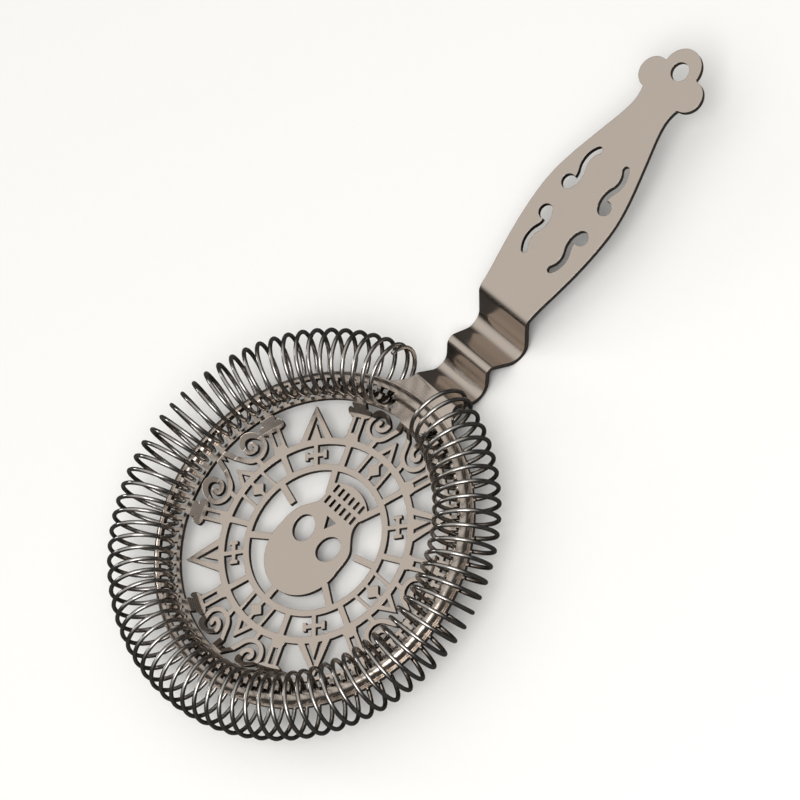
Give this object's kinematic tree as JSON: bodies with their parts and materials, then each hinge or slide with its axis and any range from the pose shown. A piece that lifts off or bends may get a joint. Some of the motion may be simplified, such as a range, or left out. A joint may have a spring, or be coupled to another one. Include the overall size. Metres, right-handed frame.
{
  "type": "hawthorne strainer",
  "caption": "Flat handled bar strainer: an openwork dished disc ringed by a close coil spring threaded through slots in its rim, with a waved neck and a bladed handle ending in a hanging hole.",
  "frame": {"origin": "centre of the round head, on the flat outer face of its medallion", "axes": "+X along the handle from the head's centre to the tip, +Z out of the side that carries the spring, +Y across the head"},
  "size_m": [0.2023, 0.1046, 0.0216],
  "materials": {
    "plate_steel": "dark nickel plated, polished on the faces",
    "spring_wire": "drawn wire, dark nickel plated, bright"
  },
  "bodies": {
    "strainer_plate": {"head_plate": "plate_steel", "handle": "plate_steel"},
    "spring": {"coil_spring": "spring_wire"}
  },
  "joints": [
    {"name": "spring_slide", "type": "slide", "parent": "strainer_plate", "child": "spring", "axis": [1, 0, 0], "range_m": [-0.0001, 0.0001]}
  ]
}
